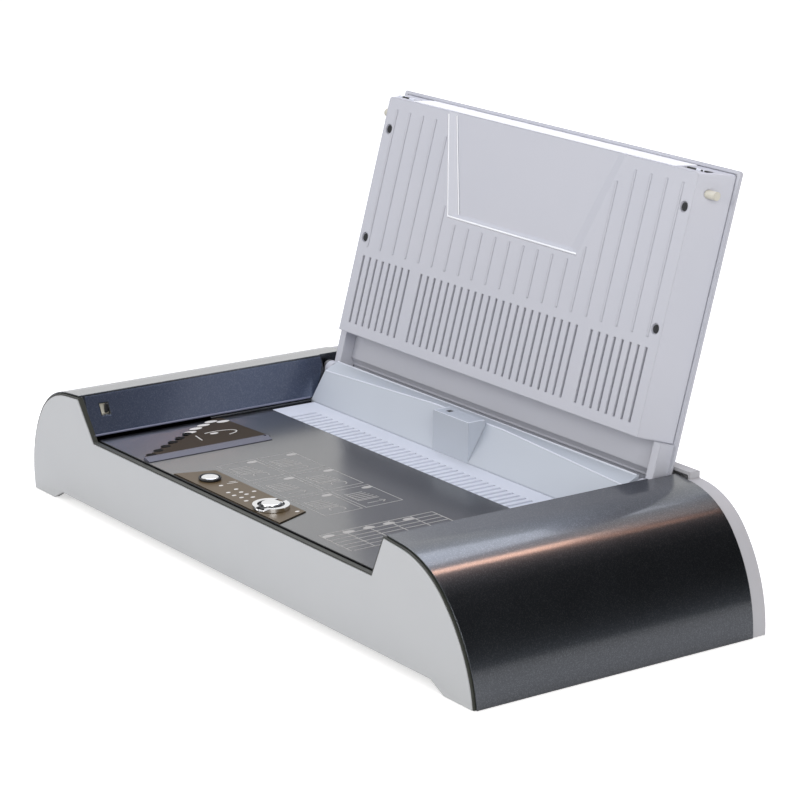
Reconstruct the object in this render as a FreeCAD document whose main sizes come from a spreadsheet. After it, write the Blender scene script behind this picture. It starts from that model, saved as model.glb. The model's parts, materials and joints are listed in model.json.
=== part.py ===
import FreeCAD, Part
import math
import os
import re
import Sketcher

# Thermal binding machine for A4 documents, as a parametric FreeCAD document.
# Millimetres. X runs across the front, +Y to the back, +Z up; the origin lies under the
# middle of the body, on the table. The stored pose has the lid open on its stop.

DIMS = {
    # body as a whole
    "body_width": 530, "body_depth": 240, "wall": 2.2, "seat_gap": 0.2, "part_gap": 0.3,
    "foot_high": 2.5,
    # side covers: outer side arc, shoulder arc, falling top, leaning inner wall
    "side_radius": 105, "shoulder_radius": 58, "top_fall": 5, "crest_x": 185, "crest_z": 88.8,
    "lip_x": 170, "lip_z": 61.8, "cover_foot": 0.6, "cover_setback": 2, "cover_rear": 107.8,
    "wall_end_low_y": 67.6, "wall_end_low_z": 59, "wall_end_mid_y": 84.4, "wall_end_mid_z": 78,
    "wall_end_top_y": 85.2, "rear_web_x": 186.6,
    "latch_y": -100.8, "latch_width": 6.8, "latch_low_z": 74.4, "latch_top_z": 81.8,
    # front: frame and face, both leaning back towards the table
    "lean_share": 0.1, "face_top": 86.6, "frame_inset": 1.2, "frame_rim": 1.2, "frame_setback": 0.5,
    "frame_depth": 3.8, "face_thick": 2.4, "frame_low_top": 58.9, "cover_edge": 0.8,
    "raised_z": 7.5, "raised_x": 222, "skid_x": 235,
    # base tray
    "tray_top": 16, "tray_floor": 10.5, "tray_rear": 107.5, "ring_x": 163, "ring_wall": 3,
    "ring_front": -108.2, "ring_rear": 71, "ring_top": 57.4,
    # rear panel and hood
    "rear_inset": 0.7, "rear_front": 108.1, "rear_wall": 2.5, "rear_round": 2,
    "hood_x": 197, "hood_left_x": 184, "hood_z": 91.5, "hood_front": 110.8,
    "inlet_x": 205, "inlet_z": 38, "inlet_wide": 29.6, "inlet_high": 23.6, "inlet_deep": 19.5,
    # deck and comb plate
    "deck_x": 168, "deck_top": 60, "deck_thick": 2.4, "deck_gap": 1.1, "comb_front": 30.5, "comb_rear": 67,
    "comb_x": 166, "comb_top": 59.9, "comb_thick": 2.3, "rib_pitch": 6.8, "rib_slot": 2.8,
    "rib_long": 22, "rib_deep": 1.6, "rib_first": 143,
    # throat housing
    "throat_x": 170, "throat_front": 67.2, "throat_low": 57.6, "throat_foot_z": 61, "throat_lean": 31,
    "throat_end_z": 81, "throat_mid_z": 86, "throat_mid_x": 40, "throat_rear": 91, "throat_rear_z": 86.5,
    # lid sensor tower
    "tower_x": 20, "tower_top": 88.6, "tower_rear": 81.3, "tower_wall": 1.8, "plunger_x": -11.5,
    "plunger_y": 75, "plunger_radius": 2, "plunger_travel": 1.5,
    # heater
    "heater_x": 158, "heater_front": 33, "heater_rear": 64, "heater_thick": 3.2, "element_x": 140,
    "element_thick": 1.4, "support_x": 120, "thermostat_radius": 7.8, "thermostat_high": 6,
    "fuse_radius": 2, "fuse_long": 11,
    # thickness gauge on the deck
    "gauge_right": -101.5, "gauge_ridge": -106, "gauge_left": -109, "gauge_high": 2.1,
    "gauge_front": -111.4, "gauge_rear": -12, "label_thick": 0.4, "label_left": -167, "label_rear_y": -13,
    # controls
    "control_y": -98.2, "power_x": -45.5, "power_radius": 6.2, "power_high": 2.6, "power_travel": 1.2,
    "power_hole": 6.8, "selector_x": 28.5, "selector_radius": 6.5, "selector_rest": -70,
    "wing_reach": 12.2, "wing_half": 3.2, "wing_share": 0.7, "knob_base": 60.8, "knob_top": 64.2,
    "shaft_radius": 3, "shaft_play": 0.05,
    "label_near_x": 70, "label_right_x": 58.5, "label_far_x": 47.7, "label_back_x": 61,
    "label_front_y": -111.6, "label_back_y": -84,
    # boards in the body
    "board_thick": 1.6, "control_board_z": 45, "power_board_z": 16.4, "power_board_x": 182,
    "power_board_wide": 58, "power_board_front": -40, "power_board_long": 90, "post_radius": 3,
    "board_past_power": 24.8, "board_past_selector": 31,
    # parts on the power board, each placed from the board's near left corner
    "transformer_in": 6, "transformer_wide": 39, "transformer_long": 33, "transformer_high": 30,
    "relay_in_x": 9, "relay_in_y": 48, "relay_wide": 18, "relay_long": 15, "relay_high": 15,
    "capacitor_in_x": 42, "capacitor_in_y": 57, "capacitor_radius": 7.5, "capacitor_high": 24,
    # lid, drawn closed about its hinge axis and turned open
    "hinge_y": 91.2, "hinge_z": 78.8, "open_angle": 104.85, "lid_back": 31, "lid_long": 173,
    "lid_face": -9.5, "tray_x": 168, "tray_draft_x": 9.3, "tray_draft_y": 3.6, "draft_high": 22,
    "lid_tray_top": 13.8, "lid_wall": 2.5, "shell_x": 181.8, "shell_low": 13.2, "shell_side": 16.2,
    "shell_crown": 20.5, "shell_front": 210.5, "shell_wall": 2.4, "cavity_x": 178.5, "shell_round": 2,
    "band_x": 172.3, "band_z": 10.5, "band_end": 11, "slope_start": 50, "slope_z": 15.3,
    "slope_end": 17.3, "skirt_inner": 15.2, "skirt_outer": 18, "skirt_start": 136, "skirt_end": 40,
    "arm_inner": 172.4, "arm_outer": 179.4, "arm_low": 1.5, "boss_radius": 6,
    "pin_radius": 2.5, "pin_play": 0.06, "bracket_inner": 179.7, "bracket_thick": 2.5, "bracket_y": 6,
    # lid details
    "vent_near": 7.6, "vent_long": 49.4, "vent_pitch": 7.9, "vent_width": 2.2, "vent_mid_x": 86.9,
    "vent_side_x": 102.2,
    "recess_far_x": 97.8, "recess_near_x": 71.5, "recess_far": 178, "recess_near": 102.4,
    "recess_deep": 1.6,
    "recess_floor_far_x": 90.2, "recess_floor_near_x": 62, "recess_floor_near": 104.9,
    "ridge_step": 15.6, "ridge_near": 64, "ridge_far": 165, "ridge_mid_end": 97, "ridge_turn_end": 108,
    "ridge_side_end": 155, "ridge_inner": 4, "ridge_width": 1.7, "ridge_high": 0.45,
    "screw_x": 161.4, "screw_far": 150, "screw_near": 70, "screw_radius": 3.4,
    "screw_recess": 1.4, "clip_in": 144, "clip_out": 168, "clip_low": -3, "clip_high": 4,
    "hook_start": 6.6, "hook_end": 13.2, "catch_start": 15.4, "catch_end": 19.8,
    "peg_far": 161, "peg_z": -0.5, "peg_radius": 2.87, "peg_tip": 179.6, "peg_root": 164,
    # feet and screws
    "foot_x": 247, "foot_y": 92, "foot_radius": 8, "base_screw_x": 205, "base_screw_y": 80,
}

LID_VENTS_MIDDLE = 23
LID_VENTS_SIDE = 8
COMB_RIBS = 43
GAUGE_STEPS = 11
RIDGES_MIDDLE = 4
RIDGES_SIDE = 4

doc = FreeCAD.newDocument("thermal_binder")
sheet = doc.addObject("Spreadsheet::Sheet", "Dims")
for row, (alias, number) in enumerate(DIMS.items(), 1):
    sheet.set("A%d" % row, alias)
    sheet.set("B%d" % row, str(number))
    sheet.setAlias("B%d" % row, alias)
doc.recompute()


def link(text):
    """Expression text with every sheet name given its sheet."""
    return re.sub(r"[a-z_]+", lambda m: "Dims." + m.group() if m.group() in DIMS else m.group(), text)


def val(text):
    """Present value of an expression, for the first guess of a sketch."""
    return float(sheet.evalExpression(link(text)))


# Sketches and PartDesign features.

def new_body(label):
    body = doc.addObject("PartDesign::Body", label)
    body.Label = label
    return body


def sketch(body, role, at="0"):
    """Sketch on the body's own plane, at a distance along +X, +Y or +Z."""
    sk = body.newObject("Sketcher::SketchObject", "Sketch")
    plane = next(f for f in body.Origin.OriginFeatures if f.Role == role + "_Plane")
    sk.AttachmentSupport = [(plane, "")]
    sk.MapMode = "FlatFace"
    text = "-(%s)" % at if role == "XZ" else at
    sk.setExpression(".AttachmentOffset.Base.z", link(text))
    return sk


def fix(sk, geo, end, across, up):
    """Ties one end of a sketch element to its two coordinates."""
    for kind, axis, text in (("DistanceX", -2, across), ("DistanceY", -1, up)):
        if text == "0":
            sk.addConstraint(Sketcher.Constraint("PointOnObject", geo, end, axis))
            continue
        number = sk.addConstraint(Sketcher.Constraint(kind, -1, 1, geo, end, val(text)))
        sk.setExpression("Constraints[%d]" % number, link(text))


def outline(sk, points):
    """Closed outline. A point is (across, up), or has (radius, centre across, centre up)
    behind it for the short arc that leads from it to the next point."""
    first = len(sk.Geometry)
    spots = [FreeCAD.Vector(val(p[0]), val(p[1]), 0) for p in points]
    ends = []
    for i, point in enumerate(points):
        start, stop = spots[i], spots[(i + 1) % len(points)]
        if len(point) == 2:
            sk.addGeometry(Part.LineSegment(start, stop), False)
            ends.append((1, 2))
            continue
        centre = FreeCAD.Vector(val(point[3]), val(point[4]), 0)
        circle = Part.Circle(centre, FreeCAD.Vector(0, 0, 1), val(point[2]))
        turn = [math.atan2(v.y - centre.y, v.x - centre.x) for v in (start, stop)]
        ccw = (start - centre).cross(stop - centre).z > 0
        sk.addGeometry(Part.ArcOfCircle(circle, turn[0 if ccw else 1], turn[1 if ccw else 0]), False)
        ends.append((1, 2) if ccw else (2, 1))
    for i, point in enumerate(points):
        after = (i + 1) % len(points)
        meet = (first + i, ends[i][1], first + after, ends[after][0])
        sk.addConstraint(Sketcher.Constraint("Coincident", *meet))
        fix(sk, first + i, ends[i][0], point[0], point[1])
        if len(point) > 2:
            number = sk.addConstraint(Sketcher.Constraint("Radius", first + i, val(point[2])))
            sk.setExpression("Constraints[%d]" % number, link(point[2]))


def rect(sk, low, high, bottom, top):
    outline(sk, [(low, bottom), (high, bottom), (high, top), (low, top)])


def disc(sk, across, up, radius):
    geo = len(sk.Geometry)
    centre = FreeCAD.Vector(val(across), val(up), 0)
    sk.addGeometry(Part.Circle(centre, FreeCAD.Vector(0, 0, 1), val(radius)), False)
    fix(sk, geo, 3, across, up)
    number = sk.addConstraint(Sketcher.Constraint("Radius", geo, val(radius)))
    sk.setExpression("Constraints[%d]" % number, link(radius))


def pad(sk, length):
    """Adds material from the sketch towards +X, +Y or +Z."""
    body = sk.getParentGeoFeatureGroup()
    feature = body.newObject("PartDesign::Pad", "Pad")
    feature.Profile = sk
    feature.setExpression("Length", link(length))
    feature.Reversed = "XZ" in sk.AttachmentSupport[0][0].Role
    body.Tip = feature
    doc.recompute()
    return feature


def pocket(sk, length):
    """Takes material away from the sketch towards +X, +Y or +Z, and checks that it did."""
    body = sk.getParentGeoFeatureGroup()
    before = body.Shape.Volume
    feature = body.newObject("PartDesign::Pocket", "Pocket")
    feature.Profile = sk
    feature.setExpression("Length", link(length))
    feature.Reversed = "XZ" not in sk.AttachmentSupport[0][0].Role
    body.Tip = feature
    doc.recompute()
    if not body.Shape.Volume < before:
        raise RuntimeError(body.Label + ": a pocket took nothing away")
    return feature


def across_row(body, feature, length, count):
    """Repeats a feature along +X."""
    row = body.newObject("PartDesign::LinearPattern", "Row")
    row.Originals = [feature]
    line = next(f for f in body.Origin.OriginFeatures if f.Role == "X_Axis")
    row.Direction = (line, [""])
    row.setExpression("Length", link(length))
    row.Occurrences = count
    body.Tip = row
    doc.recompute()
    return row


def round_edges(body, radius, wanted):
    """Rounds the edges of the body whose middle and direction pass a test."""
    names = []
    base = body.Tip
    for number, edge in enumerate(base.Shape.Edges, 1):
        middle = edge.valueAt((edge.FirstParameter + edge.LastParameter) / 2)
        along = edge.tangentAt((edge.FirstParameter + edge.LastParameter) / 2)
        if wanted(middle, along):
            names.append("Edge%d" % number)
    if not names:
        raise RuntimeError(body.Label + ": no edge to round")
    feature = body.newObject("PartDesign::Fillet", "Round")
    feature.Base = (base, names)
    feature.setExpression("Radius", link(radius))
    body.Tip = feature
    doc.recompute()
    if "Invalid" in feature.State or not feature.Shape.isValid():
        raise RuntimeError(body.Label + ": rounding failed")
    return feature


# Part primitives.

def place(obj, x, y, z):
    for axis, text in (("x", x), ("y", y), ("z", z)):
        obj.setExpression(".Placement.Base." + axis, link(text))


def block(label, x, y, z):
    """Box between two coordinates on each axis."""
    obj = doc.addObject("Part::Box", label)
    obj.Label = label
    for side, pair in (("Length", x), ("Width", y), ("Height", z)):
        obj.setExpression(side, link("%s - (%s)" % (pair[1], pair[0])))
    place(obj, x[0], y[0], z[0])
    return obj


TURNS = {"Z": FreeCAD.Rotation(), "X": FreeCAD.Rotation(FreeCAD.Vector(0, 1, 0), 90),
         "Y": FreeCAD.Rotation(FreeCAD.Vector(1, 0, 0), -90)}


def rod(label, axis, start, radius, long):
    """Cylinder from a start point along +X, +Y or +Z."""
    obj = doc.addObject("Part::Cylinder", label)
    obj.Label = label
    obj.setExpression("Radius", link(radius))
    obj.setExpression("Height", link(long))
    obj.Placement = FreeCAD.Placement(FreeCAD.Vector(), TURNS[axis])
    place(obj, *start)
    return obj


def join(label, kind, items):
    """Part::Fuse or Part::Cut of two objects, or a Part::Compound of several."""
    obj = doc.addObject("Part::" + kind, label)
    obj.Label = label
    if kind == "Compound":
        obj.Links = items
    else:
        obj.Base, obj.Tool = items
    doc.recompute()
    return obj


NODES = {}


def node(name, obj):
    NODES[name] = obj
    return obj


# Shared outline of the body, seen from the front.

SIDE_CX = "(body_width / 2 - side_radius)"
WALL_SLOPE = "((crest_x - lip_x) / (crest_z - lip_z))"
RUN_A = "(crest_x - shoulder_radius * sin(top_fall) - %s)" % SIDE_CX
RUN_B = "(crest_z - shoulder_radius * cos(top_fall))"
RUN_M = "(%s * cos(top_fall) - %s * sin(top_fall))" % (RUN_A, RUN_B)
RUN = "(sqrt(%s ^ 2 - %s ^ 2 - %s ^ 2 + (side_radius - shoulder_radius) ^ 2) - %s)" % (
    RUN_M, RUN_A, RUN_B, RUN_M)
SHOULDER_X = "(crest_x + %s * cos(top_fall) - shoulder_radius * sin(top_fall))" % RUN
SHOULDER_Z = "(crest_z - %s * sin(top_fall) - shoulder_radius * cos(top_fall))" % RUN


def wall_x(up, inset="0"):
    """Leaning inner wall of a cover at a height, moved outwards by an inset."""
    return "(lip_x + %s * (%s - lip_z) + (%s) * sqrt(1 + %s ^ 2))" % (WALL_SLOPE, up, inset, WALL_SLOPE)


def top_z(across, inset):
    """Falling top of a cover, moved down by an inset."""
    return "(crest_z - tan(top_fall) * (%s - crest_x) - (%s) / cos(top_fall))" % (across, inset)


def crest(inset, wall_inset):
    """Inner top corner of a hump."""
    flat = "(%s - (%s))" % (wall_x("0", wall_inset), "crest_x")
    high = "((crest_z - tan(top_fall) * %s - (%s) / cos(top_fall)) / (1 + tan(top_fall) * %s))" % (
        flat, inset, WALL_SLOPE)
    return wall_x(high, wall_inset), high


def side_x(up, inset):
    return "(%s + sqrt((side_radius - (%s)) ^ 2 - (%s) ^ 2))" % (SIDE_CX, inset, up)


def shoulder(inset, foot):
    """Points from the foot of the side, up the side arc and over the shoulder arc."""
    reach = "((side_radius - (%s)) / (side_radius - shoulder_radius))" % inset
    return [
        (side_x(foot, inset), foot, "side_radius - (%s)" % inset, SIDE_CX, "0"),
        ("%s + %s * (%s - %s)" % (SIDE_CX, reach, SHOULDER_X, SIDE_CX), "%s * %s" % (reach, SHOULDER_Z),
         "shoulder_radius - (%s)" % inset, SHOULDER_X, SHOULDER_Z),
        ("%s + (shoulder_radius - (%s)) * sin(top_fall)" % (SHOULDER_X, inset),
         "%s + (shoulder_radius - (%s)) * cos(top_fall)" % (SHOULDER_Z, inset)),
    ]


def mirrored(points):
    """The same stretch on the left, walked the other way."""
    spots = [("-(%s)" % p[0], p[1]) for p in points]
    back = []
    for i in range(len(points) - 1, -1, -1):
        arc = points[i - 1][2:] if i else ()
        spot = spots[i]
        if arc:
            spot = spot + (arc[0], "-(%s)" % arc[1], arc[2])
        back.append(spot)
    return back


def front_outline(inset, wall_inset, low_top, foot):
    """Whole front: two humps with a low middle, and the raised edge between the skids."""
    half = shoulder(inset, foot) + [crest(inset, wall_inset), (wall_x(low_top, wall_inset), low_top)]
    under = [("-skid_x", foot), ("-raised_x", "raised_z + %s - cover_foot" % foot),
             ("raised_x", "raised_z + %s - cover_foot" % foot), ("skid_x", foot)]
    return half + mirrored(half) + under


def lean_y(up, depth):
    """Leaning front plane at a height, at a depth behind the face."""
    return "(-body_depth / 2 + lean_share * (face_top - (%s)) + %s)" % (up, depth)


def trim_front(body, depth):
    """Cuts away all in front of the leaning plane."""
    sk = sketch(body, "YZ", "-body_width")
    outline(sk, [("-body_depth", "-body_depth"), (lean_y("-body_depth", depth), "-body_depth"),
                 (lean_y("body_depth", depth), "body_depth"), ("-body_depth", "body_depth")])
    return pocket(sk, "2 * body_width")


def trim_behind(body, depth):
    """Cuts away all behind the leaning plane."""
    sk = sketch(body, "YZ", "-body_width")
    outline(sk, [("body_depth", "-body_depth"), (lean_y("-body_depth", depth), "-body_depth"),
                 (lean_y("body_depth", depth), "body_depth"), ("body_depth", "body_depth")])
    return pocket(sk, "2 * body_width")


def leaning_plate(label, points, front, back):
    """Plate with the front outline between two leaning planes."""
    body = new_body(label)
    sk = sketch(body, "XZ", "-body_depth / 2 - body_depth / 8")
    outline(sk, points)
    pad(sk, "body_depth / 4")
    trim_front(body, front)
    trim_behind(body, back)
    return body


# Front frame and front face.

frame_blank = leaning_plate(
    "front_frame_blank",
    front_outline("frame_inset", "-frame_rim + seat_gap", "frame_low_top", "cover_foot"),
    "frame_setback", "frame_depth")
face_seat = leaning_plate(
    "face_seat",
    front_outline("frame_inset + frame_rim - seat_gap", "0", "frame_low_top - frame_rim + seat_gap",
                  "-foot_high"),
    "-frame_depth", "face_thick + seat_gap")
node("front_frame", join("front_frame", "Cut", [frame_blank, face_seat]))
face = leaning_plate(
    "front_face",
    front_outline("frame_inset + frame_rim", "seat_gap", "frame_low_top - frame_rim", "cover_foot"),
    "0", "face_thick")
node("front_face", face)


# Side covers.

def cover(side):
    """One side cover: outer skin, top and leaning inner wall, open below and at both ends."""
    label = "side_cover_right" if side > 0 else "side_cover_left"
    outer = shoulder("0", "cover_foot") + [crest("0", "0"), (wall_x("lip_z"), "lip_z")]
    inner = [(wall_x("lip_z", "wall"), "lip_z")] + [crest("wall", "wall")]
    back = shoulder("wall", "cover_foot")
    inner.append((back[2][0], back[2][1]) + back[1][2:])
    inner.append((back[1][0], back[1][1]) + back[0][2:])
    inner.append((back[0][0], back[0][1]))
    points = outer + inner
    if side < 0:
        points = [("-(%s)" % p[0], p[1]) + ((p[2], "-(%s)" % p[3], p[4]) if len(p) > 2 else ())
                  for p in points]
    body = new_body(label + "_skin")
    sk = sketch(body, "XZ", "-body_depth / 2 - 2 * cover_setback")
    outline(sk, points)
    pad(sk, "cover_rear + body_depth / 2 + 2 * cover_setback")
    trim_front(body, "cover_setback")

    # the inner wall ends along the throat housing, and leaves room for the hinge behind it
    near, far = ("lip_x / 2", "rear_web_x") if side > 0 else ("-rear_web_x", "-lip_x / 2")
    sk = sketch(body, "YZ", near)
    outline(sk, [("wall_end_low_y", "wall_end_low_z"), ("wall_end_mid_y", "wall_end_mid_z"),
                 ("wall_end_top_y", "face_top"), ("wall_end_top_y", "body_depth / 2"),
                 ("body_depth / 2", "body_depth / 2"), ("body_depth / 2", "wall_end_low_z")])
    pocket(sk, "(%s) - (%s)" % (far, near))
    sk = sketch(body, "XZ", "wall_end_top_y")
    web = ("rear_web_x", "rear_web_x + wall") if side > 0 else ("-rear_web_x - wall", "-rear_web_x")
    rect(sk, web[0], web[1], "lip_z", top_z("rear_web_x + wall", "wall / 2"))
    pad(sk, "cover_rear - wall_end_top_y")

    # slot for the lid's latch peg
    near, far = ("lip_x", "crest_x + wall") if side > 0 else ("-crest_x - wall", "-lip_x")
    sk = sketch(body, "YZ", near)
    rect(sk, "latch_y - latch_width / 2", "latch_y + latch_width / 2", "latch_low_z", "latch_top_z")
    pocket(sk, "(%s) - (%s)" % (far, near))
    return label, body


relief = leaning_plate(
    "front_relief",
    front_outline("cover_edge", "-2 * frame_rim", "frame_low_top + frame_rim", "-foot_high"),
    "-frame_depth", "frame_depth + seat_gap")
for side in (1, -1):
    label, skin = cover(side)
    node(label, join(label, "Cut", [skin, relief]))


# Catch plates behind the latch slots.

def catch_plate(side):
    label = "catch_plate_right" if side > 0 else "catch_plate_left"
    sign = "" if side > 0 else "-"
    low, high = "(latch_low_z - wall)", "(latch_top_z + wall / 2)"
    near, far = "(wall + seat_gap)", "(2 * wall + seat_gap)"
    points = [(sign + wall_x(low, near), low), (sign + wall_x(low, far), low),
              (sign + wall_x(high, far), high), (sign + wall_x(high, near), high)]
    body = new_body(label)
    sk = sketch(body, "XZ", "latch_y - latch_width")
    outline(sk, points)
    pad(sk, "2 * latch_width")
    dish = "(wall + seat_gap + wall / 2)"
    points = [(sign + wall_x(level, depth), level)
              for level, depth in (("latch_low_z", "0"), ("latch_low_z", dish),
                                   ("latch_top_z", dish), ("latch_top_z", "0"))]
    sk = sketch(body, "XZ", "latch_y - latch_width / 2")
    outline(sk, points)
    pocket(sk, "latch_width")
    return node(label, body)


for side in (1, -1):
    catch_plate(side)


# Base tray with the ring that carries deck, comb plate and throat housing.

tray = new_body("base_tray")
edge = side_x("tray_top", "wall + seat_gap")
sk = sketch(tray, "XZ", "-body_depth / 2")
outline(sk, [("-" + edge, "foot_high"), ("-skid_x", "foot_high"), ("-raised_x", "raised_z"),
             ("raised_x", "raised_z"), ("skid_x", "foot_high"), (edge, "foot_high"), (edge, "tray_top"),
             ("-" + edge, "tray_top")])
pad(sk, "tray_rear + body_depth / 2")
trim_front(tray, "frame_depth + seat_gap")
sk = sketch(tray, "XY", "tray_floor")
rect(sk, "-%s + ring_wall" % edge, "%s - ring_wall" % edge, "ring_front + ring_wall",
     "tray_rear - ring_wall")
pocket(sk, "body_depth")
sk = sketch(tray, "XY", "tray_floor")
rect(sk, "-ring_x", "ring_x", "ring_front + ring_wall / 3", "ring_rear")
rect(sk, "-ring_x + ring_wall", "ring_x - ring_wall", "ring_front + ring_wall", "ring_rear - ring_wall")
pad(sk, "ring_top - tray_floor")
sk = sketch(tray, "XY", "0")
for sx in ("", "-"):
    for sy in ("", "-"):
        disc(sk, sx + "base_screw_x", sy + "base_screw_y", "screw_radius / 2 + seat_gap")
pocket(sk, "tray_floor")
node("base_tray", tray)

# Four feet under the skids, and a tall one under the middle that stops the wide base from sagging.
feet = [rod("foot_%d" % i, "Z", (sx + "foot_x", sy + "foot_y", "0"), "foot_radius", "foot_high")
        for i, (sx, sy) in enumerate([("", ""), ("-", ""), ("", "-"), ("-", "-")])]
feet.append(rod("foot_middle", "Z", ("0", "0", "0"), "foot_radius", "raised_z"))
node("rubber_feet", join("rubber_feet", "Compound", feet))

screws = []
for i, (sx, sy) in enumerate([("", ""), ("-", ""), ("", "-"), ("-", "-")]):
    x, y = sx + "base_screw_x", sy + "base_screw_y"
    head = rod("base_screw_head_%d" % i, "Z", (x, y, "raised_z - screw_recess - seat_gap"), "screw_radius",
               "screw_recess")
    stem = rod("base_screw_stem_%d" % i, "Z", (x, y, "raised_z - screw_recess"), "screw_radius / 2",
               "tray_floor - raised_z + screw_recess")
    screws.append(join("base_screw_%d" % i, "Fuse", [head, stem]))
node("base_screws", join("base_screws", "Compound", screws))


# Rear panel with hood.

def rear_outline(inset, hood_inset):
    """Outline of the rear panel with the hood, whose left end stops short."""
    low = "cover_foot + %s - rear_inset" % inset
    halves = []
    for end in ("hood_x", "hood_left_x"):
        end_x = "%s - (%s)" % (end, hood_inset)
        hood = [(end_x, top_z(end_x, inset)), (end_x, "hood_z - (%s)" % hood_inset)]
        halves.append(shoulder(inset, low) + hood)
    raised = "raised_z + %s - rear_inset" % inset
    under = [("-skid_x", low), ("-raised_x", raised), ("raised_x", raised), ("skid_x", low)]
    return halves[0] + mirrored(halves[1]) + under


rear = new_body("rear_panel")
sk = sketch(rear, "XZ", "rear_front")
outline(sk, rear_outline("rear_inset", "0"))
pad(sk, "body_depth / 2 - rear_front")
limit = val("body_depth / 2")
round_edges(rear, "rear_round", lambda p, d: abs(p.y - limit) < 0.01 and p.z > val("raised_z + foot_high"))
sk = sketch(rear, "XZ", "rear_front")
outline(sk, rear_outline("rear_inset + wall", "wall"))
pocket(sk, "body_depth / 2 - rear_front - rear_wall")
sk = sketch(rear, "XZ", "rear_front")
rect(sk, "-hood_left_x", "hood_x", "crest_z - 4 * wall", "body_depth")
pocket(sk, "hood_front - rear_front")
sk = sketch(rear, "XZ", "hood_front")
rect(sk, "inlet_x - inlet_wide / 2 - seat_gap", "inlet_x + inlet_wide / 2 + seat_gap",
     "inlet_z - inlet_high / 2 - seat_gap", "inlet_z + inlet_high / 2 + seat_gap")
pocket(sk, "body_depth / 4")
node("rear_panel", rear)

inlet = new_body("power_inlet")
sk = sketch(inlet, "XZ", "body_depth / 2 - inlet_deep - rear_wall / 4")
rect(sk, "inlet_x - inlet_wide / 2", "inlet_x + inlet_wide / 2", "inlet_z - inlet_high / 2",
     "inlet_z + inlet_high / 2")
pad(sk, "inlet_deep")
sk = sketch(inlet, "XZ", "body_depth / 2 - inlet_deep + rear_wall")
rect(sk, "inlet_x - inlet_wide / 2 + rear_wall", "inlet_x + inlet_wide / 2 - rear_wall",
     "inlet_z - inlet_high / 2 + rear_wall", "inlet_z + inlet_high / 2 - rear_wall")
pocket(sk, "inlet_deep")
node("power_inlet", inlet)
pin_floor = "body_depth / 2 - inlet_deep + rear_wall + seat_gap / 2"
node("inlet_pins", join("inlet_pins", "Compound", [
    block("inlet_pin_%d" % i, ("inlet_x + %s - wall / 2" % dx, "inlet_x + %s + wall / 2" % dx),
          (pin_floor, pin_floor + " + inlet_deep / 2"),
          ("inlet_z + %s - wall" % dz, "inlet_z + %s + wall" % dz))
    for i, (dx, dz) in enumerate([("inlet_wide / 4", "-wall"), ("-inlet_wide / 4", "-wall"),
                                  ("0 * wall", "wall")])]))


# Deck and comb plate.

deck = new_body("deck_panel")
sk = sketch(deck, "XY", "deck_top - deck_thick")
rect(sk, "-deck_x", "deck_x", lean_y("deck_top", "frame_depth + deck_gap"), "comb_front - part_gap")
pad(sk, "deck_thick")
sk = sketch(deck, "XY", "deck_top - deck_thick")
disc(sk, "power_x", "control_y", "power_hole")
disc(sk, "selector_x", "control_y", "shaft_radius + part_gap")
pocket(sk, "deck_thick")
node("deck_panel", deck)

comb = new_body("comb_plate")
sk = sketch(comb, "XY", "comb_top - comb_thick")
rect(sk, "-comb_x", "comb_x", "comb_front", "comb_rear")
pad(sk, "comb_thick")
sk = sketch(comb, "XY", "comb_top - rib_deep")
rect(sk, "-rib_first", "-rib_first + rib_slot", "comb_front - wall", "comb_front + rib_long")
slot = pocket(sk, "comb_thick")
across_row(comb, slot, "rib_pitch * %d" % (COMB_RIBS - 1), COMB_RIBS)
node("comb_plate", comb)


# Heater under the comb plate.

comb_under = "(comb_top - comb_thick - seat_gap)"
node("heater_plate", block("heater_plate", ("-heater_x", "heater_x"), ("heater_front", "heater_rear"),
                           (comb_under + " - heater_thick", comb_under)))
element_top = "(%s - heater_thick - seat_gap / 2)" % comb_under
node("heating_element", block("heating_element", ("-element_x", "element_x"),
                              ("heater_front + 2 * wall", "heater_rear - 2 * wall"),
                              (element_top + " - element_thick", element_top)))
under = "(%s - element_thick - seat_gap / 2)" % element_top
node("heater_supports", join("heater_supports", "Compound", [
    block("heater_support_%d" % i, ("%s - 4 * wall" % x, "%s + 4 * wall" % x),
          ("heater_front + wall", "heater_rear - wall"), ("tray_floor + seat_gap", under))
    for i, x in enumerate(["-support_x", "0 * wall", "support_x"])]))
middle_y = "(heater_front + heater_rear) / 2"
node("thermostat", rod("thermostat", "Z", ("support_x / 2", middle_y, under + " - thermostat_high"),
                       "thermostat_radius", "thermostat_high"))
node("thermal_fuse", rod("thermal_fuse", "X", ("-support_x / 2", middle_y, under + " - fuse_radius"),
                         "fuse_radius", "fuse_long"))


# Throat housing: its front leans back, its top edge rises towards the middle.

throat = new_body("throat_housing")
sections = []
for x, edge_z in (("-throat_x", "throat_end_z"), ("-throat_mid_x", "throat_mid_z"),
                  ("throat_mid_x", "throat_mid_z"), ("throat_x", "throat_end_z")):
    sk = sketch(throat, "YZ", x)
    outline(sk, [("throat_front", "throat_low"), ("throat_front", "throat_foot_z"),
                 ("throat_front + (%s - throat_foot_z) * tan(throat_lean)" % edge_z, edge_z),
                 ("throat_rear", "throat_rear_z"), ("throat_rear", "throat_low")])
    sections.append(sk)
loft = throat.newObject("PartDesign::AdditiveLoft", "Loft")
loft.Profile = sections[0]
loft.Sections = sections[1:]
loft.Ruled = True
throat.Tip = loft
doc.recompute()
sk = sketch(throat, "YZ", "-throat_x + wall")
outline(sk, [("throat_front + wall", "0"), ("throat_front + wall", "throat_foot_z"),
             ("throat_front + wall + (throat_end_z - wall - throat_foot_z) * tan(throat_lean)",
              "throat_end_z - wall"),
             ("throat_rear - wall", "throat_rear_z - 2 * wall"), ("throat_rear - wall", "0")])
pocket(sk, "2 * throat_x - 2 * wall")
sk = sketch(throat, "XY", "0")
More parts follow.
